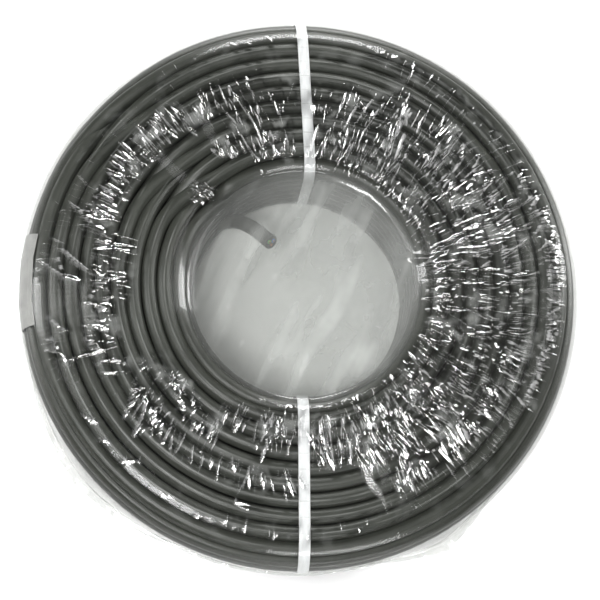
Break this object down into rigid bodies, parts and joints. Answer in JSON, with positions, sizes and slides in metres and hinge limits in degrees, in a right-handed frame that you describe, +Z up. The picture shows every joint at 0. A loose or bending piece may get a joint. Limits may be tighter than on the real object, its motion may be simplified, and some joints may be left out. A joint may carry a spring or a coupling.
{
  "type": "underground cable coil",
  "caption": "Coil of round sheathed underground power cable lying on its flat end, bound with plastic straps and wrapped in a clear shrink film bag that spans the bore.",
  "frame": {"origin": "on the floor under the middle of the bore", "axes": "+Z up along the coil's axis, +Y towards the strap at the top of the picture, -X towards the label"},
  "size_m": [0.4628, 0.4628, 0.1182],
  "materials": {
    "cable_sheath": "dark olive-grey extruded cable sheath with fine lengthwise drawing lines, satin",
    "strapping": "white polypropylene strapping with fine lengthwise ribs",
    "label_paper": "bare light grey label stock, matt",
    "shrink_film": "clear polyolefin shrink film, glossy, wrinkled towards the bore and the seam"
  },
  "bodies": {
    "root": {"cable_coil": "cable_sheath", "strap_far": "strapping", "strap_near": "strapping", "label": "label_paper", "film_top_sheet": "shrink_film", "film_bottom_sheet": "shrink_film"}
  },
  "joints": []
}
